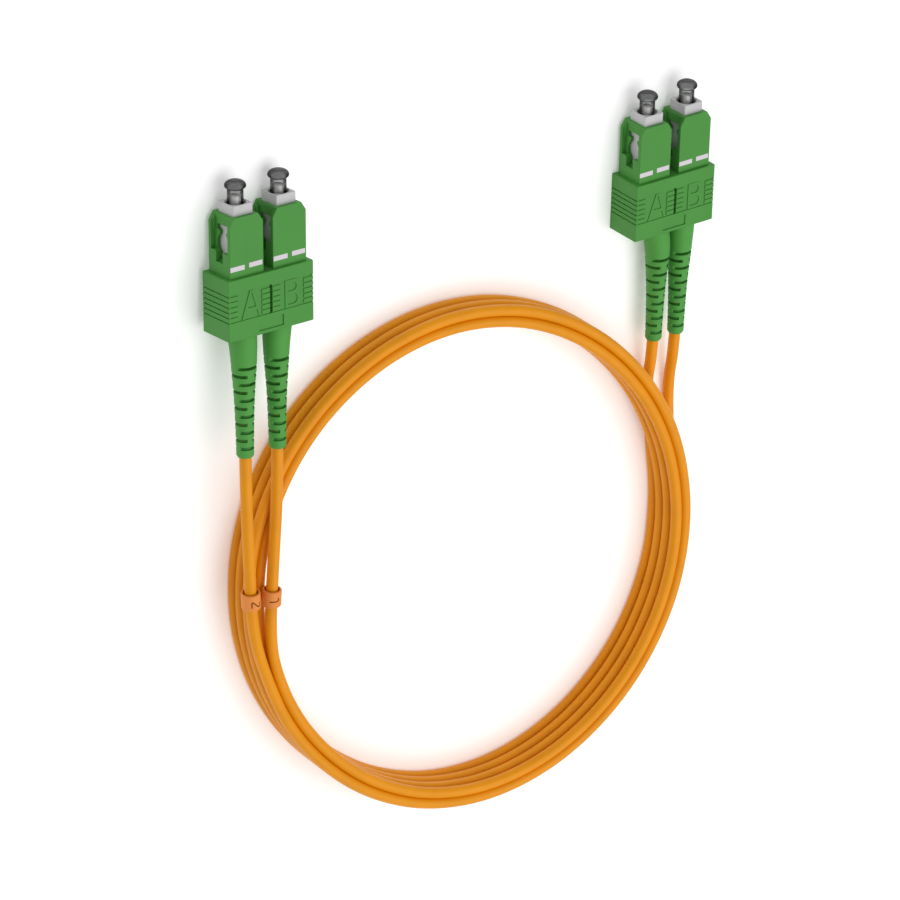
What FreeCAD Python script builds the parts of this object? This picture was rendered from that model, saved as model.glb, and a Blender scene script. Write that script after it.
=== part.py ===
import FreeCAD, Part
import math
import os

# Duplex fibre optic patch cable: a connector pair at each end of two strands,
# and the strands wound in one round hank.  Millimetres, +Z up from the surface
# that the cable lies on.

V = FreeCAD.Vector

# ---------------------------------------------------------------- dimensions
PITCH = 12.7            # distance between the two plugs of a connector
AXIS_Z = 5.2            # height of the plug axes over the clip's back face
STRAND_D = 3.0          # strand jacket

# clip that holds the two push-pull grips of a connector
CLIP_W, CLIP_D, CLIP_H = 25.2, 10.4, 15.4
CLIP_SHOULDER_Y = 9.0   # the grips' rear ends stand on this shoulder
CLIP_CHAMBER_X = 10.25  # half width of the open chamber around the boots
CLIP_CHAMBER_Z = 3.8    # its half height
GROOVE_Y = [4.9, 6.2, 7.5, 8.8, 10.2, 11.5]
GROOVE_W, GROOVE_T = 0.34, 0.28
PANEL_Y0, PANEL_Y1, PANEL_T = 4.73, 12.0, 0.22
SLIT_W, SLIT_Y0, SLIT_Y1 = 0.75, 4.73, 12.0
POCKET_X, POCKET_Y0, POCKET_Y1, POCKET_T = 3.65, 0.9, 3.7, 0.3

# push-pull grip (outer sliding housing)
GRIP_W, GRIP_D = 9.9, 8.5
GRIP_Y0, GRIP_Y1 = 9.0, 30.3
GRIP_CH_X, GRIP_CH_Y = 1.44, 2.25
GRIP_REAR_X, GRIP_REAR_Z, GRIP_STEP_Y = 4.15, 3.55, 18.1
RECESS_T = 1.2
KEY_W, KEY_T, KEY_Y0, KEY_Y1 = 3.0, 0.62, 15.4, 27.0

# plug frame inside the grip
FRAME_W, FRAME_D = 5.7, 6.1
FRAME_Y0, FRAME_Y1 = 15.4, 32.85
FRAME_FLANGE_X, FRAME_FLANGE_Z, FRAME_FLANGE_L = 3.8, 3.4, 1.0
FRAME_GAP = 0.1         # between the frame and the sliding grip
CHAMBER_R = 2.45        # round mouth around the ferrule
LEDGE_R, LEDGE_Y0, LEDGE_Y1 = 1.75, 26.2, 27.0
FRAME_BORE_R = 2.4

# ferrule, its flange, spring, rear body, crimp sleeve and fibre
FERRULE_R, FERRULE_Y0, FERRULE_Y1 = 1.25, 24.25, 34.65
FERRULE_TIP_ANGLE = 8.0
FLANGE_R, FLANGE_Y0, FLANGE_Y1 = 2.2, 24.0, 26.18
FLANGE_TUBE_R, FLANGE_TUBE_Y0, FLANGE_BORE_R = 1.35, 19.9, 0.5
SPRING_Y0, SPRING_Y1, SPRING_R, SPRING_WIRE_R, SPRING_TURNS = 19.3, 24.0, 1.9, 0.22, 5.0
REAR_Y0, REAR_BODY_Y0, REAR_FLANGE_Y0 = 12.8, 15.4, 14.6
REAR_FLANGE_R, SPIGOT_R, REAR_BORE_R = 2.9, 1.85, 1.5
CRIMP_Y0, CRIMP_R, CRIMP_NECK_R = 11.6, 2.3, 1.95
FIBRE_R, FIBRE_Y0 = 0.45, 14.6

# dust cap
CAP_Y0, CAP_Y1 = 31.2, 38.2
CAP_NECK_R, CAP_HEAD_R, CAP_HEAD_Y0, CAP_DOME_Y0 = 1.98, 2.65, 36.3, 36.85
CAP_BORE_R, CAP_BORE_Y1 = 1.27, 35.2

# bend-relief boot: (distance along the axis, outer radius)
BOOT_PROFILE = [(14.6, 2.85), (11.6, 3.2), (8.0, 3.46), (4.0, 3.58), (0.0, 3.6),
                (-4.0, 3.42), (-8.0, 3.17), (-12.0, 2.90), (-16.0, 2.62),
                (-20.0, 2.43), (-24.0, 2.31), (-28.0, 2.22), (-32.1, 2.16)]
BOOT_END_Y = -32.6
BOOT_BORE_R = 1.56
BOOT_TUBE_R = 1.78                                     # the slots' floor
BOOT_SLOT_H = 0.85
BOOT_SLOT_FB_K, BOOT_SLOT_LR_K = 0.37, 0.32            # their depth
BOOT_SLOTS_FB = [9.0, 13.2, 17.4, 21.6, 25.8, 30.0]    # open to front and back
BOOT_SLOTS_LR = [11.1, 15.3, 19.5, 23.7, 27.9]         # open to left and right
WINDOW_W, WINDOW_H, WINDOW_ANGLE = 0.55, 0.34, 43.0    # holes in the side slots' floor
BEND_Y0, BEND_Y1 = 11.6, -8.0                          # the boots' side bend
BOOT_SHIFT = {"a1": 1.75, "a2": -1.2, "b1": 5.6, "b2": 0.2}

# how each connector lies: plan position of the clip's rear edge, yaw, tilt, roll
CONN = {"a": (-50.26, 25.2, -0.75, 5.2, 2.5), "b": (75.714, 22.368, 1.8, 0.0, 0.0)}

# hank of both strands lying side by side: centreline radius by angle
COIL_X, COIL_Y = 17.70, -57.13
COIL_R = (67.993, -0.938, -5.095, -0.335, 0.272)
COIL_FLAT, COIL_FLAT_A, COIL_FLAT_W = 1.2, 176.0, 30.0    # a flatter stretch: depth, angle, spread
COIL_HALF = 1.5                   # each strand's offset from the centreline
LAYER = 3.2                       # rise from one turn to the next
COIL_TURN_TOP = 198.0             # angle where the strands enter the top layer
COIL_EXIT = -10.0                 # angle where they leave the bottom layer
RAMP_A0, RAMP_A1 = 33.0, 92.0     # each turn steps down one layer between these

# origin: middle of the connectors' footprint
ORIGIN_X, ORIGIN_Y = 12.734, 26.811

# marker rings
RING_R, RING_BORE_R, RING_L = 2.45, 1.95, 4.4
RING_BACK = 0.7          # from the middle of their straight run, back towards the plugs

# strand routes from the boots to the hank: how far each runs on straight along
# the boot's axis, then the points that follow (plan frame before the shift to
# the origin)
STRAIGHT_TO = {"a1": -41.0, "a2": -41.4, "b1": -37.0, "b2": -36.8}
ROUTE = {
    "a1": [(-53.71, -38.15, 12.05), (-52.06, -56.15, 11.95)],
    "a2": [(-46.61, -39.25, 12.0), (-46.86, -56.95, 11.95)],
    "b1": [(77.75, -25.4, 1.5), (81.60, -46.5, 1.5)],
    "b2": [(85.15, -26.6, 1.5), (86.95, -43.5, 1.5)],
}


# ------------------------------------------------------------------- helpers
def box(x0, x1, y0, y1, z0, z1):
    return Part.makeBox(x1 - x0, y1 - y0, z1 - z0, V(x0, y0, z0))


def rod(r, y0, y1):
    return Part.makeCylinder(r, y1 - y0, V(0, y0, 0), V(0, 1, 0))


def taper(r0, r1, y0, y1):
    return Part.makeCone(r0, r1, y1 - y0, V(0, y0, 0), V(0, 1, 0))


def turned(points):
    """Solid turned about the Y axis from a closed outline of (y, radius)."""
    pts = [V(r, y, 0) for y, r in points]
    return Part.Face(Part.makePolygon(pts + [pts[0]])).revolve(V(0, 0, 0), V(0, 1, 0), 360)


def prism(points, x0, x1):
    """Outline in (y, z), extruded along X."""
    pts = [V(x0, y, z) for y, z in points]
    return Part.Face(Part.makePolygon(pts + [pts[0]])).extrude(V(x1 - x0, 0, 0))


def plate(points, z0, z1):
    """Outline in (x, y), extruded along Z."""
    pts = [V(x, y, z0) for x, y in points]
    return Part.Face(Part.makePolygon(pts + [pts[0]])).extrude(V(0, 0, z1 - z0))


def one(shape):
    shape = shape.removeSplitter()
    if len(shape.Solids) == 1:
        return shape.Solids[0]
    return shape


def soften(shape, test, r):
    """Round the straight edges whose end points pass the test."""
    es = []
    for e in shape.Edges:
        if len(e.Vertexes) != 2:
            continue
        p, q = e.Vertexes[0].Point, e.Vertexes[1].Point
        if isinstance(e.Curve, Part.Line) and test(p, q):
            es.append(e)
    return shape.makeFillet(r, es) if es else shape


def near(a, b):
    return abs(a - b) < 1e-4


# ------------------------------------------------------- pieces of one plug
# The plug's axis is Y, forward towards the ferrule's tip.
def plug_frame():
    w, d = FRAME_W / 2, FRAME_D / 2
    s = box(-w, w, FRAME_Y0, FRAME_Y1, -d, d)
    s = soften(s, lambda p, q: near(abs(p.x), w) and near(abs(q.x), w)
               and near(abs(p.z), d) and near(abs(q.z), d) and not near(p.y, q.y), 0.22)
    s = s.fuse(box(-FRAME_FLANGE_X, FRAME_FLANGE_X, FRAME_Y0, FRAME_Y0 + FRAME_FLANGE_L,
                   -FRAME_FLANGE_Z, FRAME_FLANGE_Z))
    for sx in (-1, 1):          # catches that stop the grip from sliding off
        x0, x1 = sorted((sx * (w - 0.3), sx * (w + 0.5)))
        s = s.fuse(box(x0, x1, 18.95, 19.65, -0.5, 0.5))
    s = s.cut(rod(CHAMBER_R, LEDGE_Y1, FRAME_Y1 + 1))
    s = s.cut(taper(CHAMBER_R, CHAMBER_R + 0.2, FRAME_Y1 - 0.2, FRAME_Y1 + 0.0001))
    s = s.cut(rod(LEDGE_R, LEDGE_Y0 - 1, LEDGE_Y1 + 1))
    s = s.cut(rod(FRAME_BORE_R, FRAME_Y0 - 1, LEDGE_Y0))
    return one(s)


VASE = [(27.7, 2.3), (26.3, 2.3), (26.0, 1.25), (25.35, 1.25), (24.4, 1.85), (23.5, 2.35),
        (22.3, 2.3), (21.4, 2.05), (20.7, 1.35), (18.9, 1.35)]


def grip():
    w, d = GRIP_W / 2, GRIP_D / 2
    s = box(-w, w, GRIP_Y0, GRIP_Y1, -d, d)
    for sx in (-1, 1):
        s = s.cut(plate([(sx * (w - GRIP_CH_X), GRIP_Y1), (sx * (w + 1), GRIP_Y1),
                         (sx * (w + 1), GRIP_Y1 - GRIP_CH_Y), (sx * w, GRIP_Y1 - GRIP_CH_Y)],
                        -d - 1, d + 1))
    s = soften(s, lambda p, q: near(abs(p.x), w) and near(abs(q.x), w)
               and near(abs(p.z), d) and near(abs(q.z), d) and not near(p.y, q.y)
               and near(p.z, q.z), 0.2)
    s = s.fuse(box(-KEY_W / 2, KEY_W / 2, KEY_Y0, KEY_Y1, -d - KEY_T, -d + 0.2))
    s = s.cut(box(-FRAME_W / 2 - FRAME_GAP, FRAME_W / 2 + FRAME_GAP, GRIP_STEP_Y - 1, GRIP_Y1 + 1,
                  -FRAME_D / 2 - FRAME_GAP, FRAME_D / 2 + FRAME_GAP))
    s = s.cut(box(-GRIP_REAR_X, GRIP_REAR_X, GRIP_Y0 - 1, GRIP_STEP_Y, -GRIP_REAR_Z, GRIP_REAR_Z))
    outline = VASE + [(y, -z) for y, z in reversed(VASE)]
    for sx in (-1, 1):
        x0, x1 = sorted((sx * (w - RECESS_T), sx * (w + 1)))
        s = s.cut(box(x0, x1, 21.3, GRIP_Y1 + 1, -3.3, 3.3))
        s = s.cut(box(x0, x1, 18.6, 21.4, -1.35, 1.35))
        x0, x1 = sorted((sx * (FRAME_W / 2 - 0.3), sx * (w - RECESS_T + 0.1)))
        s = s.cut(prism(outline, x0, x1))
        # ramps at both edges of the recess that lift a port's latch arms
        xi, xo = sx * (w - RECESS_T - 0.2), sx * (w - 0.5)
        xf = sx * (w - RECESS_T)
        for z0, z1 in ((-3.4, -2.8), (2.8, 3.4)):
            s = s.fuse(plate([(xf, 24.9), (xo, 26.5), (xo, GRIP_Y1 - 1.6),
                              (sx * (w - GRIP_CH_X) , GRIP_Y1 - 0.2), (xi, GRIP_Y1 - 0.2), (xi, 24.9)],
                             z0, z1))
    return one(s)


def ferrule():
    s = rod(FERRULE_R, FERRULE_Y0, FERRULE_Y1 + 0.2)
    tip = turned([(FERRULE_Y0 - 1, 0), (FERRULE_Y0 - 1, FERRULE_R + 1),
                  (FERRULE_Y1 - 0.45, FERRULE_R + 1), (FERRULE_Y1 - 0.45, FERRULE_R),
                  (FERRULE_Y1 + 0.2, FERRULE_R - 0.42), (FERRULE_Y1 + 0.2, 0)])
    s = s.common(tip)
    cutter = Part.makeBox(10, 5, 10, V(-5, 0, -5))
    cutter.rotate(V(0, 0, 0), V(1, 0, 0), FERRULE_TIP_ANGLE)
    cutter.translate(V(0, FERRULE_Y1 - 0.08, 0))
    return one(s.cut(cutter))


def ferrule_flange():
    s = turned([(FLANGE_TUBE_Y0, FLANGE_BORE_R), (FLANGE_TUBE_Y0, FLANGE_TUBE_R),
                (FLANGE_Y0, FLANGE_TUBE_R), (FLANGE_Y0, FLANGE_R), (FLANGE_Y1 - 0.25, FLANGE_R),
                (FLANGE_Y1, FLANGE_R - 0.25), (FLANGE_Y1, FERRULE_R), (FERRULE_Y0, FERRULE_R),
                (FERRULE_Y0, FLANGE_BORE_R)])
    for k in range(4):
        n = Part.makeBox(0.8, 3.0, 1.0, V(-0.4, FLANGE_Y0 - 0.3, FLANGE_R - 0.42))
        n.rotate(V(0, 0, 0), V(0, 1, 0), 45 + 90 * k)
        s = s.cut(n)
    return one(s)


def spring():
    h = SPRING_Y1 - SPRING_Y0 - 2 * SPRING_WIRE_R - 0.02
    helix = Part.makeHelix(h / SPRING_TURNS, h, SPRING_R)
    ring = Part.Wire(Part.makeCircle(SPRING_WIRE_R, V(SPRING_R, 0, 0), V(0, 1, 0)))
    s = Part.Wire(helix.Edges).makePipeShell([ring], True, True)
    s = Part.Solid(s) if s.ShapeType != "Solid" else s
    s.rotate(V(0, 0, 0), V(1, 0, 0), -90)
    s.translate(V(0, SPRING_Y0 + SPRING_WIRE_R + 0.01, 0))
    return s


def rear_body():
    s = turned([(REAR_Y0, FIBRE_R + 0.25), (REAR_Y0, SPIGOT_R), (REAR_FLANGE_Y0, SPIGOT_R),
                (REAR_FLANGE_Y0, REAR_FLANGE_R), (REAR_BODY_Y0, REAR_FLANGE_R),
                (REAR_BODY_Y0, FRAME_BORE_R), (SPRING_Y0 - 0.2, FRAME_BORE_R),
                (SPRING_Y0, FRAME_BORE_R - 0.2), (SPRING_Y0, REAR_BORE_R),
                (16.4, REAR_BORE_R), (15.7, FIBRE_R + 0.25)])
    return one(s)


def crimp_sleeve():
    return one(turned([(CRIMP_Y0, STRAND_D / 2), (CRIMP_Y0, CRIMP_NECK_R), (REAR_Y0 - 0.55, CRIMP_NECK_R),
                       (REAR_Y0 - 0.1, CRIMP_R), (REAR_FLANGE_Y0, CRIMP_R), (REAR_FLANGE_Y0, SPIGOT_R),
                       (REAR_Y0, SPIGOT_R), (REAR_Y0, STRAND_D / 2)]))


def fibre():
    return rod(FIBRE_R, FIBRE_Y0, FERRULE_Y0)


def dust_cap():
    outline = [(CAP_Y0, CAP_BORE_R + 0.18), (CAP_Y0, CAP_NECK_R - 0.25), (CAP_Y0 + 0.25, CAP_NECK_R),
               (CAP_HEAD_Y0, CAP_NECK_R), (CAP_HEAD_Y0, CAP_HEAD_R - 0.12),
               (CAP_HEAD_Y0 + 0.12, CAP_HEAD_R), (CAP_DOME_Y0, CAP_HEAD_R)]
    top, base = CAP_Y1, CAP_DOME_Y0
    flat = 0.8
    for k in range(1, 9):
        t = math.radians(90.0 * k / 9)
        outline.append((base + (top - base) * math.sin(t), flat + (CAP_HEAD_R - flat) * math.cos(t)))
    outline += [(top, flat), (top, 0), (CAP_BORE_Y1 + 0.35, 0), (CAP_BORE_Y1, CAP_BORE_R - 0.35),
                (CAP_BORE_Y1 - 0.35, CAP_BORE_R), (CAP_Y0 + 0.2, CAP_BORE_R)]
    return one(turned(outline))


def bend_centre(name):
    """Two equal tangent arcs that carry the boot's axis sideways by d."""
    d = BOOT_SHIFT[name]
    h = BEND_Y0 - BEND_Y1
    r = (h * h + d * d) / (4 * abs(d))
    return d, h, r


def axis_at(name, y):
    """Offset and slope of the boot's axis at a distance y along the plug."""
    d, h, r = bend_centre(name)
    s = 1 if d > 0 else -1
    if y >= BEND_Y0:
        return 0.0, 0.0
    if y <= BEND_Y1:
        return d, 0.0
    if y > (BEND_Y0 + BEND_Y1) / 2:
        t = BEND_Y0 - y
        return s * (r - math.sqrt(r * r - t * t)), s * t / math.sqrt(r * r - t * t)
    t = y - BEND_Y1
    return d - s * (r - math.sqrt(r * r - t * t)), s * t / math.sqrt(r * r - t * t)


def boot(name):
    d = BOOT_SHIFT[name]
    # bent part, around the crimp
    rings = []
    for y, r in BOOT_PROFILE:
        if y >= BEND_Y1:
            x, sl = axis_at(name, y)
            rings.append(Part.Wire(Part.makeCircle(r, V(x, y, 0), V(sl, -1, 0))))
    upper = Part.makeLoft(rings, True, False)
    upper = upper.cut(tube_from(bend_edges(name, 15.6, BEND_Y1 - 1), BOOT_BORE_R))
    upper = upper.cut(turned([(CRIMP_Y0, 0), (CRIMP_Y0, CRIMP_NECK_R), (REAR_Y0 - 0.55, CRIMP_NECK_R),
                              (REAR_Y0 - 0.1, CRIMP_R), (16, CRIMP_R), (16, 0)]))
    # straight part: a turned shape with slots in turn front and back, left and right
    side = Part.BSplineCurve()
    side.interpolate([V(r, y, 0) for y, r in BOOT_PROFILE if y <= BEND_Y1])
    y_end, r_end = BOOT_PROFILE[-1]
    c = [V(BOOT_BORE_R, BEND_Y1, 0), V(radius_at(BEND_Y1), BEND_Y1, 0), V(r_end, y_end, 0),
         V(r_end - 0.3, BOOT_END_Y, 0), V(BOOT_BORE_R, BOOT_END_Y, 0)]
    outline = [Part.LineSegment(c[0], c[1]).toShape(), side.toShape(),
               Part.LineSegment(c[2], c[3]).toShape(), Part.LineSegment(c[3], c[4]).toShape(),
               Part.LineSegment(c[4], c[0]).toShape()]
    lower = Part.Face(Part.Wire(outline)).revolve(V(0, 0, 0), V(0, 1, 0), 360)
    tools = []
    for levels, fb in ((BOOT_SLOTS_FB, True), (BOOT_SLOTS_LR, False)):
        for i, lv in enumerate(levels):
            y = -lv
            e = (BOOT_SLOT_FB_K if fb else BOOT_SLOT_LR_K) * radius_at(y)
            for sg in (-1, 1):
                a, b = sorted((sg * e, sg * 6.0))
                if fb:
                    t = box(-6, 6, y - BOOT_SLOT_H / 2, y + BOOT_SLOT_H / 2, a, b)
                else:
                    t = box(a, b, y - BOOT_SLOT_H / 2, y + BOOT_SLOT_H / 2, -6, 6)
                tools.append(t.cut(rod(BOOT_TUBE_R, y - 1, y + 1)))
                if not fb and i > 0:
                    for k in (-1, 1):
                        hole = box(1.1, 2.2, y - WINDOW_H / 2, y + WINDOW_H / 2, -WINDOW_W / 2, WINDOW_W / 2)
                        hole.rotate(V(0, 0, 0), V(0, 1, 0), 90 - sg * 90 + k * WINDOW_ANGLE)
                        tools.append(hole)
    for t in tools:
        lower = lower.cut(t)
    lower.translate(V(d, 0, 0))
    return one(upper.fuse(lower))


def radius_at(y):
    p = BOOT_PROFILE
    for (y0, r0), (y1, r1) in zip(p, p[1:]):
        if y1 <= y <= y0:
            return r0 + (r1 - r0) * (y0 - y) / (y0 - y1)
    return p[-1][1]


def bend_edges(name, y_from, y_to):
    """Axis of a strand inside the boot: a run, two arcs, a run."""
    d, h, r = bend_centre(name)
    ym = (BEND_Y0 + BEND_Y1) / 2
    yq0, yq1 = (BEND_Y0 + ym) / 2, (BEND_Y1 + ym) / 2
    p0, p1 = V(0, y_from, 0), V(0, BEND_Y0, 0)
    m1 = V(axis_at(name, yq0)[0], yq0, 0)
    p2 = V(d / 2, ym, 0)
    m2 = V(axis_at(name, yq1)[0], yq1, 0)
    p3, p4 = V(d, BEND_Y1, 0), V(d, y_to, 0)
    return [Part.LineSegment(p0, p1).toShape(), Part.Arc(p1, m1, p2).toShape(),
            Part.Arc(p2, m2, p3).toShape(), Part.LineSegment(p3, p4).toShape()]


def tube_from(edges, r):
    """Round tube along tangent runs and arcs: one side face for each, closed
    by a disc at both ends."""
    e = edges[0]
    ring = Part.makeCircle(r, e.valueAt(e.FirstParameter), e.tangentAt(e.FirstParameter))
    faces = [Part.Face(Part.Wire(ring))]
    for e in edges:
        if isinstance(e.Curve, Part.Line):
            v = e.valueAt(e.LastParameter) - e.valueAt(e.FirstParameter)
            faces.append(ring.extrude(v))
            ring = ring.copy()
            ring.translate(v)
        else:
            ang = math.degrees(e.LastParameter - e.FirstParameter)
            c, ax = e.Curve.Center, e.Curve.Axis
            faces.append(ring.revolve(c, ax, ang))
            ring = ring.copy()
            ring.rotate(c, ax, ang)
    faces.append(Part.Face(Part.Wire(ring)))
    shell = Part.makeShell(faces)
    shell.sewShape()
    s = Part.Solid(shell if shell.ShapeType == "Shell" else shell.Shells[0])
    s.fix(1e-6, 1e-6, 1e-4)
    if s.Volume < 0:
        s.reverse()
    return s


# ------------------------------------------------------------------- the clip
def letter_a(cx):
    """Capital A, 5.9 wide and 7 high, between the panel's floor and its edge."""
    y0, y1, hw, st = 4.9, 11.9, 2.95, 0.8
    return [[(cx - hw, y0), (cx - hw + st, y0), (cx + 0.1, y1), (cx - 0.5, y1)],
            [(cx + hw - st, y0), (cx + hw, y0), (cx + 0.5, y1), (cx - 0.1, y1)],
            [(cx - 1.75, 6.8), (cx + 1.75, 6.8), (cx + 1.5, 7.55), (cx - 1.5, 7.55)]]


def arc_pts(cx, cy, rx, ry, a0, a1, n):
    return [(cx + rx * math.cos(math.radians(a0 + (a1 - a0) * k / n)),
             cy + ry * math.sin(math.radians(a0 + (a1 - a0) * k / n))) for k in range(n + 1)]


def letter_b(cx):
    y0, y1, st = 4.9, 11.9, 0.75
    xl = cx - 2.2
    ym = 8.6
    polys = [[(xl, y0), (xl + st, y0), (xl + st, y1), (xl, y1)]]
    for lo, hi, xr in ((y0, ym + st / 2, cx + 2.2), (ym - st / 2, y1, cx + 1.95)):
        ry = (hi - lo) / 2
        rx = min(ry, 1.75)
        mid = (hi + lo) / 2
        outer = [(xl + st / 2, lo)] + arc_pts(xr - rx, mid, rx, ry, -90, 90, 12) + [(xl + st / 2, hi)]
        inner = [(xl + st / 2, lo + st)] + arc_pts(xr - rx, mid, rx - st, ry - st, -90, 90, 12) + [(xl + st / 2, hi - st)]
        polys.append((outer, inner))
    return polys


def clip():
    w, h, d = CLIP_W / 2, CLIP_H, CLIP_D
    s = box(-w, w, 0, h, 0, d)
    s = soften(s, lambda p, q: True, 0.22)
    gx, gz = GRIP_W / 2, GRIP_D / 2
    for c in (-PITCH / 2, PITCH / 2):
        s = s.cut(box(c - gx, c + gx, CLIP_SHOULDER_Y, h + 1, AXIS_Z - gz, AXIS_Z + gz))
    s = s.cut(soften(box(-CLIP_CHAMBER_X, CLIP_CHAMBER_X, -1, CLIP_SHOULDER_Y,
                         AXIS_Z - CLIP_CHAMBER_Z, AXIS_Z + CLIP_CHAMBER_Z),
                     lambda p, q: not near(p.y, q.y), 1.2))
    # grooves round both sides
    for y in GROOVE_Y:
        for sx in (-1, 1):
            x0, x1 = sorted((sx * (w - GROOVE_T), sx * (w + 1)))
            s = s.cut(box(x0, x1, y - GROOVE_W / 2, y + GROOVE_W / 2, -1, d + 1))
    # front panel: floor, then the ribs and letters that stand on it
    tool = box(-w + 0.55, w - 0.55, PANEL_Y0, PANEL_Y1, d - PANEL_T, d + 1)
    keep = []
    for y0, y1 in zip(GROOVE_Y, GROOVE_Y[1:]):
        for x0, x1 in ((-w + 0.5, -w + 2.9), (w - 2.9, w - 0.5), (-2.75, -0.2), (0.2, 2.75)):
            keep.append(box(x0, x1, y0 + GROOVE_W / 2, y1 - GROOVE_W / 2, d - 2, d + 2))
    for poly in letter_a(-5.75):
        keep.append(plate(poly, d - 2, d + 2))
    for poly in letter_b(6.35):
        if isinstance(poly, tuple):
            keep.append(plate(poly[0], d - 2, d + 2).cut(plate(poly[1], d - 3, d + 3)))
        else:
            keep.append(plate(poly, d - 2, d + 2))
    for k in keep:
        tool = tool.cut(k)
    s = s.cut(tool)
    s = s.cut(box(-SLIT_W / 2, SLIT_W / 2, SLIT_Y0, SLIT_Y1, d - 3.0, d + 1))
    s = s.cut(box(-POCKET_X, POCKET_X, POCKET_Y0, POCKET_Y1, d - POCKET_T, d + 1))
    return one(s)


# -------------------------------------------------------------------- placing
def placement(c):
    x, y, yaw, tilt, roll = CONN[c]
    lean = FreeCAD.Rotation(V(1, 0, 0), -tilt).multiply(FreeCAD.Rotation(V(0, 1, 0), roll))
    lift = 0.0
    if tilt:        # a leaning pair rests on the front lower corner of one key
        corner = V(PITCH / 2 + KEY_W / 2, KEY_Y1, AXIS_Z - GRIP_D / 2 - KEY_T)
        lift = -lean.multVec(corner).z
    m1 = FreeCAD.Placement(V(0, 0, 0), lean)
    m2 = FreeCAD.Placement(V(x - ORIGIN_X, y - ORIGIN_Y, lift), FreeCAD.Rotation(V(0, 0, 1), yaw))
    return m2.multiply(m1)


def put(shape, c, px=None):
    s = shape.copy()
    if px is not None:
        s.translate(V(px, 0, AXIS_Z))
    return s.transformed(placement(c).toMatrix(), True)


def plan(p):
    return V(p[0] - ORIGIN_X, p[1] - ORIGIN_Y, p[2])


# --------------------------------------------------------- strands and hank
def coil_r(a):
    t = math.radians(a)
    q = (a - COIL_FLAT_A + 180.0) % 360.0 - 180.0
    return (COIL_R[0] + COIL_R[1] * math.cos(2 * t) + COIL_R[2] * math.sin(2 * t)
            + COIL_R[3] * math.cos(3 * t) + COIL_R[4] * math.sin(3 * t)
            - COIL_FLAT * math.exp(-(q / COIL_FLAT_W) ** 2))


def coil_pt(a, off, z):
    """Point at an angle on the hank, off the centreline along its normal."""
    t = math.radians(a)
    e = 0.01
    def c(q):
        return V(COIL_X + coil_r(q) * math.cos(math.radians(q)), COIL_Y + coil_r(q) * math.sin(math.radians(q)), 0)
    tan = c(a + e) - c(a - e)
    tan.normalize()
    nrm = V(tan.y, -tan.x, 0)
    p = c(a) + nrm * off
    return V(p.x - ORIGIN_X, p.y - ORIGIN_Y, z), tan


def route(name):
    """Corner points of a strand's tail, from its crimp to the hank."""
    c = name[0]
    px = -PITCH / 2 if name[1] == "1" else PITCH / 2
    pl = placement(c)
    ym = (BEND_Y0 + BEND_Y1) / 2
    d, h, r = bend_centre(name)
    t = r * math.tan(math.asin((BEND_Y0 - ym) / r) / 2)      # tangent length of each arc
    local = [V(px, REAR_Y0, AXIS_Z), V(px, BEND_Y0 - t, AXIS_Z), V(px + d, BEND_Y1 + t, AXIS_Z),
             V(px + d, STRAIGHT_TO[name], AXIS_Z)]
    pts = [pl.multVec(p) for p in local] + [plan(p) for p in ROUTE[name]]
    if c == "a":
        off = COIL_HALF if name[1] == "1" else -COIL_HALF
        end, tan = coil_pt(COIL_TURN_TOP, off, STRAND_D / 2 + 3 * LAYER)
        pts += [end - tan * 8.0, end]
    else:
        off = -COIL_HALF if name[1] == "1" else COIL_HALF
        end, tan = coil_pt(COIL_EXIT, off, STRAND_D / 2)
        pts += [end + tan * 9.0, end]
    return pts


def arc_radii(pts):
    out = []
    for k in range(1, len(pts) - 1):
        a, b = pts[k - 1] - pts[k], pts[k + 1] - pts[k]
        turn = math.pi - a.getAngle(b)
        run = min(a.Length, b.Length)
        out.append((0.45 * run / math.tan(turn / 2), turn, run))
    return out


def tail(name):
    pts = route(name)
    rad = arc_radii(pts)
    # inside the boot the two arcs are the boot's own
    d, h, rb = bend_centre(name)
    rad[0] = (rb, rad[0][1], rad[0][2])
    rad[1] = (rb, rad[1][1], rad[1][2])
    edges, prev = [], pts[0]
    length = 0.0
    for k in range(1, len(pts) - 1):
        r, turn, run = rad[k - 1]
        t = r * math.tan(turn / 2)
        u = pts[k - 1] - pts[k]
        w = pts[k + 1] - pts[k]
        u.normalize()
        w.normalize()
        p, q = pts[k] + u * t, pts[k] + w * t
        bis = u + w
        bis.normalize()
        m = pts[k] + bis * (r / math.cos(turn / 2) - r)
        if (p - prev).Length > 1e-3:
            edges.append(Part.LineSegment(prev, p).toShape())
            length += (p - prev).Length
        edges.append(Part.Arc(p, m, q).toShape())
        length += r * turn
        prev = q
    edges.append(Part.LineSegment(prev, pts[-1]).toShape())
    length += (pts[-1] - prev).Length
    s = tube_from(edges, STRAND_D / 2)
    vol = math.pi * STRAND_D ** 2 / 4 * length
    print("tail %s length %.1f volume/ideal %.4f valid %s radii %s runs %s" % (
        name, length, s.Volume / vol, s.isValid(), ["%.1f" % r[0] for r in rad],
        ["%.1f" % (b - a).Length for a, b in zip(pts, pts[1:])]))
    return s


def ring(name):
    pts = route(name)
    a, b = pts[4], pts[5]
    c = (a + b) * 0.5
    t = b - a
    t.normalize()
    c = c - t * RING_BACK
    s = Part.makeCylinder(RING_R, RING_L, c - t * (RING_L / 2), t)
    edges = [e for e in s.Edges if not isinstance(e.Curve, Part.Line)]
    s = s.makeFillet(0.3, edges)
    return s.cut(Part.makeCylinder(RING_BORE_R, RING_L + 2, c - t * (RING_L / 2 + 1), t)), c, t


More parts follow.
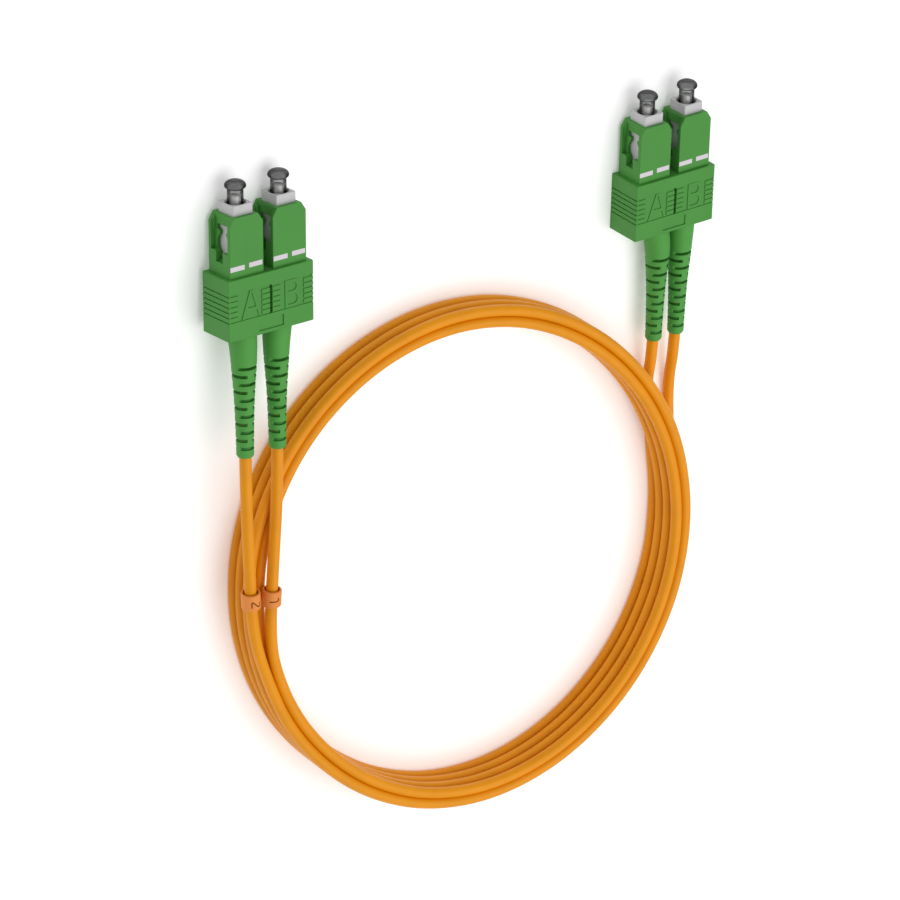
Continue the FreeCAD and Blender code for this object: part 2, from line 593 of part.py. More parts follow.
def coil():
    half = COIL_HALF + STRAND_D / 2
    height = STRAND_D + 3 * LAYER
    n = 24
    wires = []
    for off in (half, -half):
        pts = [coil_pt(360.0 * k / (2 * n), off, 0)[0] for k in range(2 * n)]
        edges = []
        for k in range(0, 2 * n, 2):
            edges.append(Part.Arc(pts[k], pts[k + 1], pts[(k + 2) % (2 * n)]).toShape())
        wires.append(Part.Wire(edges))
    outer = Part.Face(wires[0]).extrude(V(0, 0, height))
    inner = Part.Face(wires[1]).extrude(V(0, 0, height))
    s = outer.cut(inner)
    # sloped steps between the layers, cut square to the line between the
    # ramp's two ends
    p0, p1 = coil_pt(RAMP_A0, 0, 0)[0], coil_pt(RAMP_A1, 0, 0)[0]
    u = p1 - p0
    ls = u.Length
    u.normalize()
    v = V(-u.y, u.x, 0)

    def slab(profile):
        pts = [p0 + u * a + V(0, 0, z) - v * 200 for a, z in profile]
        return Part.Face(Part.makePolygon(pts + [pts[0]])).extrude(v * 400)

    top = slab([(0, height), (ls, height - LAYER), (500, height - LAYER), (500, 60), (0, 60)])
    low = slab([(-500, -10), (-500, LAYER), (0, LAYER), (ls, 0), (ls, -10)])
    left_part = wedge(V(COIL_X - ORIGIN_X, COIL_Y - ORIGIN_Y, 0), 20.0, COIL_TURN_TOP)
    right_part = wedge(V(COIL_X - ORIGIN_X, COIL_Y - ORIGIN_Y, 0), COIL_EXIT, 160.0)
    s = s.cut(top.common(left_part)).cut(low.common(right_part))
    s = one(s)
    print("hank volume %.0f valid %s solids %d" % (s.Volume, s.isValid(), len(s.Solids)))
    return s


def wedge(c, a0, a1):
    """Sector of the hank between two of its cross-sections, square to it."""
    pts = []
    n = 8
    for k in range(n + 1):
        a = a0 + (a1 - a0) * k / n
        p, tan = coil_pt(a, 0, 0)
        nrm = V(tan.y, -tan.x, 0)
        pts.append((p - nrm * 12, p + nrm * 12))
    ring_pts = [p for p, q in pts] + [q for p, q in reversed(pts)]
    ring_pts = [V(p.x, p.y, -20) for p in ring_pts]
    return Part.Face(Part.makePolygon(ring_pts + [ring_pts[0]])).extrude(V(0, 0, 100))


# ----------------------------------------------------------------------- build
def main():
    os.makedirs("parts", exist_ok=True)
    shapes = {}
    base = {"plug_frame": plug_frame(), "grip": grip(), "ferrule": ferrule(),
            "ferrule_flange": ferrule_flange(), "spring": spring(), "rear_body": rear_body(),
            "crimp_sleeve": crimp_sleeve(), "fibre": fibre(), "dust_cap": dust_cap()}
    body = clip()
    cords = {}
    for c in ("a", "b"):
        shapes["duplex_clip_" + c] = put(body, c)
        for i, px in (("1", -PITCH / 2), ("2", PITCH / 2)):
            for k, s in base.items():
                shapes["%s_%s%s" % (k, c, i)] = put(s, c, px)
            shapes["boot_" + c + i] = put(boot(c + i), c, px)
            cords["strand_" + c + i] = tail(c + i)
    box_all = None
    for s in shapes.values():
        b = s.optimalBoundingBox(False)
        if box_all is None:
            box_all = b
        else:
            box_all.add(b)
    print("connectors' box x %.3f %.3f y %.3f %.3f z %.3f %.3f" % (
        box_all.XMin, box_all.XMax, box_all.YMin, box_all.YMax, box_all.ZMin, box_all.ZMax))
    for i, strand in (("1", "a2"), ("2", "a1")):     # the strands' own numbers
        s, c, t = ring(strand)
        cords["marker_ring_" + i] = s
        print("ring", i, c, t)
    cords["hank"] = coil()
    shapes.update(cords)
    for k, s in shapes.items():
        if len(s.Solids) != 1 or not s.isValid():
            print("CHECK", k, s.ShapeType, len(s.Solids), s.isValid())
        s.exportStep("parts/%s.step" % k)
    for n in ("a1", "a2", "b1", "b2"):
        print("route", n, [(round(p.x, 3), round(p.y, 3), round(p.z, 3)) for p in route(n)])
    print("pieces", len(shapes))


main()
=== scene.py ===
import math

import bmesh
import bpy
from mathutils import Matrix, Vector


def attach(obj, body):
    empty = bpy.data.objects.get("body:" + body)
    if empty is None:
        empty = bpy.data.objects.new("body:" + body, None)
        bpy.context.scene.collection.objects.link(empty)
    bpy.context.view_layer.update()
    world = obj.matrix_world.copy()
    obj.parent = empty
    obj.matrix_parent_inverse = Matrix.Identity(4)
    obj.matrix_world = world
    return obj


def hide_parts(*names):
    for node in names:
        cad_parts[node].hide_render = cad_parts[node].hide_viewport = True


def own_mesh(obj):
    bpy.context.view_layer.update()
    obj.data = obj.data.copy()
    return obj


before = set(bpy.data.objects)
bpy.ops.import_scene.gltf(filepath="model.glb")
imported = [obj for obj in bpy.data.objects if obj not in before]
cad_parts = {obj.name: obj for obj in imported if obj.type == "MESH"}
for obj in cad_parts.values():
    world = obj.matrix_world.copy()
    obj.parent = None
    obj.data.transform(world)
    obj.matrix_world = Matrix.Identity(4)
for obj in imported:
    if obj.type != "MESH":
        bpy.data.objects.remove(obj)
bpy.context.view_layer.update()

MM = 0.001
SCENE = bpy.context.scene

# ------------------------------------------------------------------ geometry
PITCH = 12.7
AXIS_Z = 5.2
STRAND_D = 3.0
# how each connector pair lies: plan position, yaw, tilt, roll (mm, degrees)
CONN = {"a": (-62.994, -1.611, -0.75, 5.2, 2.5), "b": (62.98, -4.443, 1.8, 0.0, 0.0)}
KEY_CORNER = (7.85, 27.0, 0.33)     # a leaning pair rests on this corner of one key
PLUGS = (("a", "1", -PITCH / 2), ("a", "2", PITCH / 2), ("b", "1", -PITCH / 2), ("b", "2", PITCH / 2))


def pair_matrix(c):
    x, y, yaw, tilt, roll = CONN[c]
    lean = Matrix.Rotation(math.radians(-tilt), 4, "X") @ Matrix.Rotation(math.radians(roll), 4, "Y")
    lift = -(lean @ Vector(KEY_CORNER)).z if tilt else 0.0
    return Matrix.Translation((x, y, lift)) @ Matrix.Rotation(math.radians(yaw), 4, "Z") @ lean


def at(c, x, y, z):
    """Point of a connector pair's own frame (mm) in the row frame (m)."""
    return (pair_matrix(c) @ Vector((x, y, z))) * MM


def plug_matrix(c, px):
    """Frame of one plug's axis, for meshes in metres."""
    m = pair_matrix(c) @ Matrix.Translation((px, 0, AXIS_Z))
    m.translation = m.translation * MM
    return m


# hank: centre, centreline radius by angle, layers
COIL_X, COIL_Y = 4.966, -83.941
COIL_R = (67.993, -0.938, -5.095, -0.335, 0.272)
COIL_FLAT, COIL_FLAT_A, COIL_FLAT_W = 1.2, 176.0, 30.0
COIL_HALF = 1.5
LAYER = 3.2
TOP_A, EXIT_A = 198.0, 1430.0
RAMPS = ((393.0, 452.0), (753.0, 812.0), (1113.0, 1172.0))
PER_TURN = 20


def coil_c(a):
    t = math.radians(a)
    q = (a - COIL_FLAT_A + 180.0) % 360.0 - 180.0
    r = (COIL_R[0] + COIL_R[1] * math.cos(2 * t) + COIL_R[2] * math.sin(2 * t)
         + COIL_R[3] * math.cos(3 * t) + COIL_R[4] * math.sin(3 * t)
         - COIL_FLAT * math.exp(-(q / COIL_FLAT_W) ** 2))
    return Vector((COIL_X + r * math.cos(t), COIL_Y + r * math.sin(t), 0))


def coil_frame(a):
    tan = (coil_c(a + 0.05) - coil_c(a - 0.05)).normalized()
    return coil_c(a), tan, Vector((tan.y, -tan.x, 0))


def coil_z(a):
    z = STRAND_D / 2 + 3 * LAYER
    for a0, a1 in RAMPS:
        t = min(max((a - a0) / (a1 - a0), 0), 1)
        z -= LAYER * t
    return z


# routes from the crimps to the hank, corner points in mm
ROUTE = {
    "a1": [(-68.937, 11.711, 6.749), (-69.017, 5.598, 7.306), (-67.396, -4.113, 8.111),
           (-67.89, -41.893, 11.549), (-66.444, -64.961, 12.05), (-64.794, -82.961, 11.95),
           (-60.044, -96.855, 11.1), (-56.813, -104.174, 11.1)],
    "a2": [(-56.251, 11.495, 6.197), (-56.331, 5.402, 6.752), (-57.657, -4.3, 7.689),
           (-58.156, -42.457, 11.162), (-59.344, -66.061, 12.0), (-59.594, -83.761, 11.95),
           (-57.299, -95.644, 11.1), (-54.068, -102.963, 11.1)],
    "b1": [(56.231, 8.151, 5.2), (56.435, 1.654, 5.2), (62.315, -7.165, 5.2),
           (63.393, -41.448, 5.2), (65.016, -52.211, 1.5), (68.866, -73.311, 1.5),
           (71.118, -86.783, 1.5), (70.855, -95.78, 1.5)],
    "b2": [(68.925, 8.55, 5.2), (69.116, 2.453, 5.2), (69.624, -7.335, 5.2),
           (70.683, -41.019, 5.2), (72.416, -53.411, 1.5), (74.216, -70.311, 1.5),
           (74.117, -86.871, 1.5), (73.854, -95.867, 1.5)],
}


def strand_points(first, last, off):
    """Control points of one strand: from its crimp, round the hank, to its other crimp."""
    pts = [Vector(p) for p in ROUTE[first][:-1]]
    n = round((EXIT_A - TOP_A) / 360 * PER_TURN)
    step = (EXIT_A - TOP_A) / n
    for k in range(n):
        a = TOP_A + (k + 0.5) * step
        c, tan, nrm = coil_frame(a)
        r = (c - Vector((COIL_X, COIL_Y, 0))).length
        p = c + nrm * (off + r / math.cos(math.radians(step / 2)) - r)
        pts.append(Vector((p.x, p.y, coil_z(a))))
    pts += [Vector(p) for p in reversed(ROUTE[last][:-1])]
    return [p * MM for p in pts]


def nurbs(name, pts, radius, sides=10, res=10):
    cu = bpy.data.curves.new(name, "CURVE")
    cu.dimensions = "3D"
    sp = cu.splines.new("NURBS")
    sp.points.add(len(pts) - 1)
    for p, q in zip(sp.points, pts):
        p.co = (q[0], q[1], q[2], 1)
    sp.order_u = 3
    sp.use_endpoint_u = True
    sp.use_smooth = True
    cu.resolution_u = res
    cu.bevel_depth = radius
    cu.bevel_resolution = sides
    cu.use_fill_caps = True
    o = bpy.data.objects.new(name, cu)
    SCENE.collection.objects.link(o)
    return o


# ----------------------------------------------------------------- materials
def material(name):
    m = bpy.data.materials.new(name)
    m.use_nodes = True
    nt = m.node_tree
    b = nt.nodes["Principled BSDF"]
    return m, nt, b


def node(nt, kind, **values):
    n = nt.nodes.new(kind)
    for k, v in values.items():
        if k in n.inputs:
            n.inputs[k].default_value = v
        else:
            setattr(n, k, v)
    return n


def moulded(name, colour, dark, light, rough=0.42, grain=900.0, bump=0.06, specular=0.35, painted_recess_shade=None):
    """Moulded plastic: slow tone drift, fine grain in the surface, roughness variation,
    and on request painted shade: a darker colour where the mesh's own painted-shade weight is high."""
    m, nt, b = material(name)
    tc = node(nt, "ShaderNodeTexCoord")
    slow = node(nt, "ShaderNodeTexNoise", Scale=120.0, Detail=3.0, Roughness=0.55)
    nt.links.new(tc.outputs["Object"], slow.inputs["Vector"])
    ramp = node(nt, "ShaderNodeValToRGB")
    ramp.color_ramp.elements[0].position = 0.3
    ramp.color_ramp.elements[0].color = (*dark, 1)
    ramp.color_ramp.elements[1].position = 0.7
    ramp.color_ramp.elements[1].color = (*light, 1)
    mid = ramp.color_ramp.elements.new(0.5)
    mid.color = (*colour, 1)
    nt.links.new(slow.outputs["Fac"], ramp.inputs["Fac"])
    out = ramp.outputs["Color"]
    # painted shade: blend towards the darker recess colour by the mesh's painted-shade weight
    if painted_recess_shade:
        at_ = node(nt, "ShaderNodeAttribute")
        at_.attribute_name = "slot_shade_weight"
        mix = node(nt, "ShaderNodeMix")
        mix.data_type = "RGBA"
        nt.links.new(at_.outputs["Fac"], mix.inputs[0])
        nt.links.new(out, mix.inputs[6])
        mix.inputs[7].default_value = (*painted_recess_shade, 1)
        out = mix.outputs[2]
    nt.links.new(out, b.inputs["Base Color"])
    fine = node(nt, "ShaderNodeTexNoise", Scale=grain, Detail=4.0, Roughness=0.6)
    nt.links.new(tc.outputs["Object"], fine.inputs["Vector"])
    rr = node(nt, "ShaderNodeMapRange")
    rr.inputs["To Min"].default_value = rough - 0.05
    rr.inputs["To Max"].default_value = rough + 0.07
    nt.links.new(fine.outputs["Fac"], rr.inputs["Value"])
    nt.links.new(rr.outputs["Result"], b.inputs["Roughness"])
    bp = node(nt, "ShaderNodeBump", Strength=bump, Distance=0.0001)
    nt.links.new(fine.outputs["Fac"], bp.inputs["Height"])
    nt.links.new(bp.outputs["Normal"], b.inputs["Normal"])
    b.inputs["Specular IOR Level"].default_value = specular
    return m


def shade(c, k):
    return tuple(x * k for x in c)


GREEN = (0.065, 0.275, 0.045)
M_GREEN = moulded("green_plastic", GREEN, shade(GREEN, 0.97), shade(GREEN, 1.03), specular=0.18)
BOOT_GREEN = shade(GREEN, 1.15)
# the boots' recess colour is painted shade for the insides of their slots
M_BOOT = moulded("green_boot", BOOT_GREEN, shade(BOOT_GREEN, 0.94), shade(BOOT_GREEN, 1.04), rough=0.55,
                 bump=0.09, specular=0.25, painted_recess_shade=(0.030, 0.19, 0.024))
GREY = (0.56, 0.548, 0.56)
M_FRAME = moulded("plug_frame_grey", GREY, shade(GREY, 0.96), shade(GREY, 1.03), rough=0.4, specular=0.3)
ORANGE = (0.79, 0.292, 0.0005)
M_ORANGE = moulded("orange_jacket", ORANGE, shade(ORANGE, 0.95), shade(ORANGE, 1.04), rough=0.42,
                   grain=1500.0, bump=0.05, specular=0.24)
RING = (0.78, 0.265, 0.05)
M_RING = moulded("marker_orange", RING, shade(RING, 0.95), shade(RING, 1.04), rough=0.5, specular=0.3)
M_INK = moulded("marker_ink", (0.17, 0.035, 0.001), (0.15, 0.03, 0.001), (0.2, 0.04, 0.001), rough=0.7, specular=0.1)
STRIPE = (0.68, 0.63, 0.68)
M_STRIPE = moulded("pale_stripe", STRIPE, shade(STRIPE, 0.97), shade(STRIPE, 1.02), rough=0.5, specular=0.2)
WHITE = (0.80, 0.79, 0.77)
M_CERAMIC = moulded("white_ceramic", WHITE, shade(WHITE, 0.97), shade(WHITE, 1.02), rough=0.2, bump=0.02, specular=0.5)
M_FIBRE = moulded("fibre_coating", WHITE, shade(WHITE, 0.96), shade(WHITE, 1.02), rough=0.3)


def metal(name, colour, rough, grain=1800.0):
    m = moulded(name, colour, shade(colour, 0.92), shade(colour, 1.06), rough=rough, grain=grain, bump=0.08)
    m.node_tree.nodes["Principled BSDF"].inputs["Metallic"].default_value = 1.0
    return m


M_METAL = metal("bright_metal", (0.62, 0.61, 0.58), 0.28)
M_SPRING = metal("spring_steel", (0.5, 0.5, 0.5), 0.3)
M_CRIMP = metal("crimp_metal", (0.62, 0.5, 0.28), 0.35)


def smoke():
    """Clear smoke-grey plastic: its thin neck passes more light than its solid head,
    and both are deeper at a glancing angle."""
    m, nt, b = material("smoke_plastic")
    b.inputs["Transmission Weight"].default_value = 1.0
    b.inputs["IOR"].default_value = 1.08
    b.inputs["Coat Weight"].default_value = 0.25
    b.inputs["Coat Roughness"].default_value = 0.05
    b.inputs["Roughness"].default_value = 0.05
    tc = node(nt, "ShaderNodeTexCoord")
    xyz = node(nt, "ShaderNodeSeparateXYZ")
    nt.links.new(tc.outputs["Object"], xyz.inputs[0])
    head = node(nt, "ShaderNodeMapRange")
    head.inputs["From Min"].default_value = 0.0346
    head.inputs["From Max"].default_value = 0.0353
    nt.links.new(xyz.outputs["Y"], head.inputs["Value"])
    lw = node(nt, "ShaderNodeLayerWeight", Blend=0.35)
    edge = node(nt, "ShaderNodeMapRange")
    edge.inputs["From Min"].default_value = 0.15
    edge.inputs["From Max"].default_value = 0.36
    nt.links.new(lw.outputs["Facing"], edge.inputs["Value"])
    wall = node(nt, "ShaderNodeMapRange")
    wall.inputs["From Min"].default_value = 0.07
    wall.inputs["From Max"].default_value = 0.15
    nt.links.new(lw.outputs["Facing"], wall.inputs["Value"])
    noise = node(nt, "ShaderNodeTexNoise", Scale=260.0, Detail=2.0)
    nt.links.new(tc.outputs["Object"], noise.inputs["Vector"])

    def mix(fac, a, c):
        x = node(nt, "ShaderNodeMix")
        x.data_type = "RGBA"
        nt.links.new(fac, x.inputs[0])
        for sock, v in ((6, a), (7, c)):
            if isinstance(v, tuple):
                x.inputs[sock].default_value = (*v, 1)
            else:
                nt.links.new(v, x.inputs[sock])
        return x.outputs[2]

    neck = mix(wall.outputs["Result"], (0.96, 0.96, 0.965), (0.13, 0.13, 0.132))
    top = mix(edge.outputs["Result"], (0.17, 0.17, 0.172), (0.010, 0.010, 0.011))
    both = mix(head.outputs["Result"], neck, top)
    drift = mix(noise.outputs["Fac"], (0.94, 0.94, 0.94), (1.0, 1.0, 1.0))
    mul = node(nt, "ShaderNodeMix")
    mul.data_type = "RGBA"
    mul.blend_type = "MULTIPLY"
    mul.inputs[0].default_value = 1.0
    nt.links.new(both, mul.inputs[6])
    nt.links.new(drift, mul.inputs[7])
    nt.links.new(mul.outputs[2], b.inputs["Base Color"])
    bp = node(nt, "ShaderNodeBump", Strength=0.02, Distance=0.0001)
    nt.links.new(noise.outputs["Fac"], bp.inputs["Height"])
    nt.links.new(bp.outputs["Normal"], b.inputs["Normal"])
    return m


M_SMOKE = smoke()


def bore():
    """Wall of the dust cap's bore: almost unseen against the ferrule."""
    m = moulded("smoke_bore", (0.10, 0.10, 0.10), (0.09, 0.09, 0.09), (0.11, 0.11, 0.11), rough=0.5, specular=0.0)
    m.node_tree.nodes["Principled BSDF"].inputs["Alpha"].default_value = 0.03
    return m


M_BORE = bore()

BY_KIND = {"duplex_clip": M_GREEN, "grip": M_GREEN, "boot": M_BOOT, "plug_frame": M_FRAME,
           "ferrule_flange": M_METAL, "ferrule": M_CERAMIC, "spring": M_SPRING, "rear_body": M_METAL,
           "crimp_sleeve": M_CRIMP, "fibre": M_FIBRE, "dust_cap": M_SMOKE, "marker_ring": M_RING,
           "strand": M_ORANGE, "hank": M_ORANGE}
for name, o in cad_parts.items():
    kind = name if name in BY_KIND else name.rsplit("_", 1)[0]
    o.data.materials.clear()
    o.data.materials.append(BY_KIND[kind])


# ------------------------------------------------------------- mesh helpers
def mesh_object(name, verts, faces, mat, smooth=False):
    me = bpy.data.meshes.new(name)
    me.from_pydata([tuple(v) for v in verts], [], faces)
    bm = bmesh.new()
    bm.from_mesh(me)
    bmesh.ops.recalc_face_normals(bm, faces=bm.faces)
    bm.to_mesh(me)
    bm.free()
    me.materials.append(mat)
    for p in me.polygons:
        p.use_smooth = smooth
    o = bpy.data.objects.new(name, me)
    SCENE.collection.objects.link(o)
    return o


def softened(node_name, new_name, width, mat, body, angle=35.0, segments=2):
    """Copy of a CAD piece with its sharp edges rounded a little."""
    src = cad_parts[node_name]
    me = bpy.data.meshes.new(new_name)
    bm = bmesh.new()
    bm.from_mesh(src.data)
    bmesh.ops.remove_doubles(bm, verts=bm.verts, dist=1e-6)
    bmesh.ops.dissolve_limit(bm, angle_limit=math.radians(1.0), verts=bm.verts, edges=bm.edges)
    bm.to_mesh(me)
    bm.free()
    me.materials.clear()
    me.materials.append(mat)
    o = bpy.data.objects.new(new_name, me)
    o.matrix_world = src.matrix_world.copy()
    SCENE.collection.objects.link(o)
    bv = o.modifiers.new("edge", "BEVEL")
    bv.width = width
    bv.segments = segments
    bv.limit_method = "ANGLE"
    bv.angle_limit = math.radians(angle)
    bv.use_clamp_overlap = True
    bv.harden_normals = False
    bv.miter_outer = "MITER_ARC"
    for p in me.polygons:
        p.use_smooth = True
    wn = o.modifiers.new("normals", "WEIGHTED_NORMAL")
    wn.keep_sharp = False
    wn.weight = 80
    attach(o, body)
    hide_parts(node_name)
    return o


# ------------------------------------------------------------- grips, frames
for c, i, px in PLUGS:
    softened("grip_" + c + i, "grip_shell_" + c + i, 0.00010, M_GREEN, "push_pull_" + c)
    softened("plug_frame_" + c + i, "plug_body_" + c + i, 0.00008, M_FRAME, "cable")

# two pale printed bars on the front of each grip
GRIP_FRONT = 4.25
for c, i, px in PLUGS:
    m = plug_matrix(c, px)
    for side, x0, x1, y0 in (("left", -4.85, -0.7, 17.15), ("right", 0.62, 4.5, 17.3)):
        y1, z0, z1 = y0 + 1.2, GRIP_FRONT - 0.02, GRIP_FRONT + 0.03
        vs = [Vector((x, y, z)) * MM for z in (z0, z1) for x, y in ((x0, y0), (x1, y0), (x1, y1), (x0, y1))]
        fs = [(0, 3, 2, 1), (4, 5, 6, 7), (0, 1, 5, 4), (1, 2, 6, 5), (2, 3, 7, 6), (3, 0, 4, 7)]
        o = mesh_object("grip_bar_%s%s_%s" % (c, i, side), [m @ v for v in vs], fs, M_STRIPE)
        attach(o, "push_pull_" + c)

# ---------------------------------------------------------------------- boots
BOOT_R = [(14.6, 2.85), (11.6, 3.2), (8.0, 3.46), (4.0, 3.58), (0.0, 3.6), (-4.0, 3.42), (-8.0, 3.17),
          (-12.0, 2.90), (-16.0, 2.62), (-20.0, 2.43), (-24.0, 2.31), (-28.0, 2.22), (-32.1, 2.16), (-32.6, 1.86)]
SLOTS = [9.0, 13.2, 17.4, 21.6, 25.8, 30.0, 11.1, 15.3, 19.5, 23.7, 27.9]
BOOT_SHIFT = {"a1": 1.75, "a2": -1.2, "b1": 5.6, "b2": 0.2}


def boot_radius(y):
    for (y0, r0), (y1, r1) in zip(BOOT_R, BOOT_R[1:]):
        if y1 <= y <= y0:
            return r0 + (r1 - r0) * (y0 - y) / (y0 - y1)
    return BOOT_R[-1][1]


for c, i, px in PLUGS:
    name = "boot_" + c + i
    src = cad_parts[name]
    me = src.data.copy()
    me.name = "bend_relief_" + c + i
    inv = plug_matrix(c, px).inverted()
    # painted shade weight: 1 on faces sunk below the boot's outside in a slot, eased off in the big upper slots
    att = me.attributes.new("slot_shade_weight", "FLOAT", "POINT")
    for v in me.vertices:
        p = (inv @ v.co) / MM
        value = 0.0
        if p.y < -8.2 and min(abs(-p.y - s) for s in SLOTS) < 0.46:
            r, full = math.hypot(p.x - BOOT_SHIFT[c + i], p.z), boot_radius(p.y)
            value = min(max((full - 0.05 - r) / 0.35, 0.0), 1.0)
            value *= 1.0 - 0.75 * min(max((full - 2.3) / 0.8, 0.0), 1.0)     # the deep ones are dark by shadow
        att.data[v.index].value = value
    me.materials.clear()
    me.materials.append(M_BOOT)
    o = bpy.data.objects.new("bend_relief_" + c + i, me)
    o.matrix_world = src.matrix_world.copy()
    SCENE.collection.objects.link(o)
    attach(o, "cable")
    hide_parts(name)

# ------------------------------------------------------------------ dust caps
CAP = [(31.2, 1.62), (31.24, 1.76), (31.34, 1.88), (31.5, 1.95), (31.75, 1.98), (33.0, 1.98), (34.5, 1.98),
       (35.9, 1.98), (36.1, 2.0), (36.18, 2.06), (36.22, 2.14), (36.25, 2.24), (36.32, 2.36), (36.43, 2.48),
       (36.57, 2.58), (36.7, 2.63), (36.85, 2.65)]
for k in range(1, 13):
    t = math.radians(7.5 * k)
    CAP.append((36.85 + 1.35 * math.sin(t), 0.8 + 1.85 * math.cos(t)))
CAP += [(38.2, 0.4), (38.2, 0.0)]
CAP_IN = [(35.55, 0.0), (35.52, 0.45), (35.4, 0.72), (35.2, 0.92), (34.98, 1.16), (34.85, 1.27), (34.0, 1.27),
          (32.5, 1.27), (31.45, 1.27), (31.28, 1.33), (31.2, 1.45)]


def lathe(name, outline, mat, n=56):
    """Turned shape about Y from (y, radius) points in mm; a radius of 0 closes an end."""
    verts, rows, faces = [], [], []
    for y, r in outline:
        if r == 0:
            rows.append([len(verts)])
            verts.append(Vector((0, y, 0)) * MM)
        else:
            rows.append(list(range(len(verts), len(verts) + n)))
            verts += [Vector((r * math.cos(2 * math.pi * k / n), y, r * math.sin(2 * math.pi * k / n))) * MM
                      for k in range(n)]
    pairs = list(zip(rows, rows[1:]))
    if outline[0][1] != 0 and outline[-1][1] != 0:
        pairs.append((rows[-1], rows[0]))
    for a, b in pairs:
        for k in range(n):
            j = (k + 1) % n
            if len(a) == 1 and len(b) == 1:
                continue
            if len(a) == 1:
                faces.append((a[0], b[k], b[j]))
            elif len(b) == 1:
                faces.append((a[k], b[0], a[j]))
            else:
                faces.append((a[k], b[k], b[j], a[j]))
    return mesh_object(name, verts, faces, mat, smooth=True)


for c, i, px in PLUGS:
    o = lathe("cap_shell_" + c + i, CAP_IN + CAP, M_SMOKE)
    o.data.materials.append(M_BORE)
    for p in o.data.polygons:
        if p.center.y < 0.03556 and math.hypot(p.center.x, p.center.z) < 0.00135:
            p.material_index = 1
    o.matrix_world = plug_matrix(c, px)
    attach(o, "cap_" + c + i)
    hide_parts("dust_cap_" + c + i)

# -------------------------------------------------------------------- springs
# Each spring is a copy of its CAD piece on a mesh of its own, riding with the cable.
for c, i, px in PLUGS:
    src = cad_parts["spring_" + c + i]
    o = bpy.data.objects.new("spring_coil_" + c + i, src.data.copy())
    o.matrix_world = src.matrix_world.copy()
    SCENE.collection.objects.link(o)
    o.data.materials.clear()
    o.data.materials.append(M_SPRING)
    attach(o, "cable")
    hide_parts("spring_" + c + i)
    pm = plug_matrix(c, px)
    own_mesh(o)

# --------------------------------------------------------------------- digits
RING_R = 2.45
VIEW = Vector((-0.54498, 0.45739, 0.7027))      # the side of the rings that the digits are on
RIGHT = Vector((0.80385, 0.04675, 0.593))
# strokes: (distance round the ring, distance along it), mm
DIGITS = {
    "2": ((-65.683, -73.264, 12.004), (0.09128, -0.99581, -0.00553),
          [[(0.36, 1.05), (0.32, 0.5), (0.36, -0.40), (0.55, -0.54), (0.85, -0.33), (1.25, 0.12), (1.75, 0.72),
            (2.05, 0.95), (2.40, 1.0), (2.66, 0.75), (2.76, 0.35), (2.66, -0.05)]], 0.3),
    "1": ((-59.459, -74.211, 11.977), (-0.01412, -0.9999, -0.00282),
          [[(-0.35, 0.28), (0.20, 0.28), (0.80, 0.27), (1.40, 0.24), (1.85, 0.14), (2.05, -0.08), (1.98, -0.38),
            (1.72, -0.62)]], 0.3),
}


def wrapped(name, centre, axis, lines, width):
    """Thin raised strokes that follow a ring's outside."""
    axis = Vector(axis).normalized()
    n0 = (VIEW - axis * VIEW.dot(axis)).normalized()
    e0 = axis.cross(n0)
    if e0.dot(RIGHT) < 0:
        e0 = -e0
    verts, faces = [], []

    def spot(u, v, r):
        a = u / RING_R
        return (Vector(centre) + axis * v + (n0 * math.cos(a) + e0 * math.sin(a)) * r) * MM

    for line in lines:
        fine = []
        for k in range(len(line) - 1):
            for s in range(6):
                p0, p1 = line[max(k - 1, 0)], line[k]
                p2, p3 = line[k + 1], line[min(k + 2, len(line) - 1)]
                t = s / 6
                fine.append(tuple(0.5 * (2 * b + (c - a) * t + (2 * a - 5 * b + 4 * c - d) * t * t
                                         + (3 * b - a - 3 * c + d) * t ** 3)
                                  for a, b, c, d in zip(p0, p1, p2, p3)))
        fine.append(line[-1])
        start = len(verts)
        for k, (u, v) in enumerate(fine):
            a, b = fine[max(k - 1, 0)], fine[min(k + 1, len(fine) - 1)]
            du, dv = b[0] - a[0], b[1] - a[1]
            s = math.hypot(du, dv) or 1.0
            nu, nv = -dv / s * width / 2, du / s * width / 2
            for r in (RING_R - 0.02, RING_R + 0.03):
                verts.append(spot(u + nu, v + nv, r))
                verts.append(spot(u - nu, v - nv, r))
        for k in range(len(fine) - 1):
            a, b = start + 4 * k, start + 4 * k + 4
            faces += [(a + 2, a + 3, b + 3, b + 2), (a, b, b + 1, a + 1), (a, a + 2, b + 2, b), (a + 1, b + 1, b + 3, a + 3)]
        faces += [(start, start + 1, start + 3, start + 2),
                  tuple(start + 4 * (len(fine) - 1) + q for q in (0, 2, 3, 1))]
    o = mesh_object(name, verts, faces, M_INK)
    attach(o, "cable")
    return o


digit = {k: wrapped("digit_" + k, *v) for k, v in DIGITS.items()}

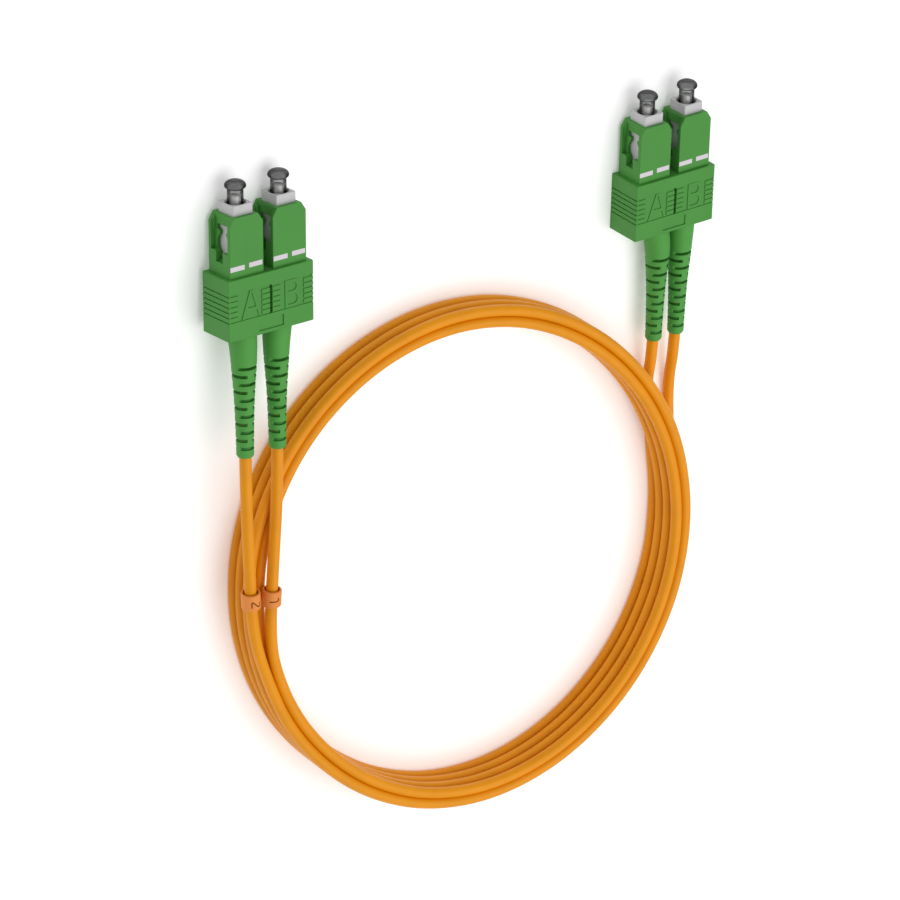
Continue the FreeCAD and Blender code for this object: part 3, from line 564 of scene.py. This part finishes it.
# --------------------------------------------------------------------- cords
outer = nurbs("strand_outer", strand_points("a1", "b2", COIL_HALF), STRAND_D / 2 * MM)
inner = nurbs("strand_inner", strand_points("a2", "b1", -COIL_HALF), STRAND_D / 2 * MM)
for o in (outer, inner):
    o.data.materials.append(M_ORANGE)
    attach(o, "cable")
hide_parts("strand_a1", "strand_b2", "hank")
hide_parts("strand_a2", "strand_b1")

# ------------------------------------------------------------- floor, lights
me = bpy.data.meshes.new("floor")
me.from_pydata([(-3, -3, 0), (3, -3, 0), (3, 3, 0), (-3, 3, 0)], [], [(0, 1, 2, 3)])
floor = bpy.data.objects.new("floor", me)
SCENE.collection.objects.link(floor)
m, nt, b = material("floor")
b.inputs["Base Color"].default_value = (0.95, 0.95, 0.95, 1)
b.inputs["Roughness"].default_value = 0.95
b.inputs["Specular IOR Level"].default_value = 0.0
b.inputs["Emission Color"].default_value = (1, 1, 1, 1)
b.inputs["Emission Strength"].default_value = 0.2
me.materials.append(m)

w = bpy.data.worlds.new("studio")
w.use_nodes = True
w.node_tree.nodes["Background"].inputs["Color"].default_value = (1, 1, 1, 1)
w.node_tree.nodes["Background"].inputs["Strength"].default_value = 0.47
SCENE.world = w


def area(name, loc, target, size, power):
    li = bpy.data.lights.new(name, "AREA")
    li.shape = "SQUARE"
    li.size = size
    li.energy = power
    o = bpy.data.objects.new(name, li)
    o.location = loc
    d = Vector(target) - Vector(loc)
    o.rotation_mode = "QUATERNION"
    o.rotation_quaternion = d.to_track_quat("-Z", "Y")
    SCENE.collection.objects.link(o)
    return o


area("key", (0.3, -0.3, 1.5), (0, -0.05, 0), 2.0, 21)

# -------------------------------------------------------------------- camera
cam = bpy.data.cameras.new("camera")
cam.lens = 180.0
cam.sensor_width = 36.0
cam.sensor_fit = "HORIZONTAL"
cam.clip_start, cam.clip_end = 0.05, 20.0
co = bpy.data.objects.new("camera", cam)
SCENE.collection.objects.link(co)
right = Vector((0.80385, 0.04675, 0.593))
back = Vector((-0.54498, 0.45739, 0.7027)).normalized()
up = back.cross(right).normalized()
right = up.cross(back).normalized()
co.matrix_world = Matrix.Translation((-0.619111, 0.466395, 0.802015)) @ Matrix((right, up, back)).transposed().to_4x4()
SCENE.camera = co
SCENE.view_settings.view_transform = "Standard"
SCENE.view_settings.look = "None"
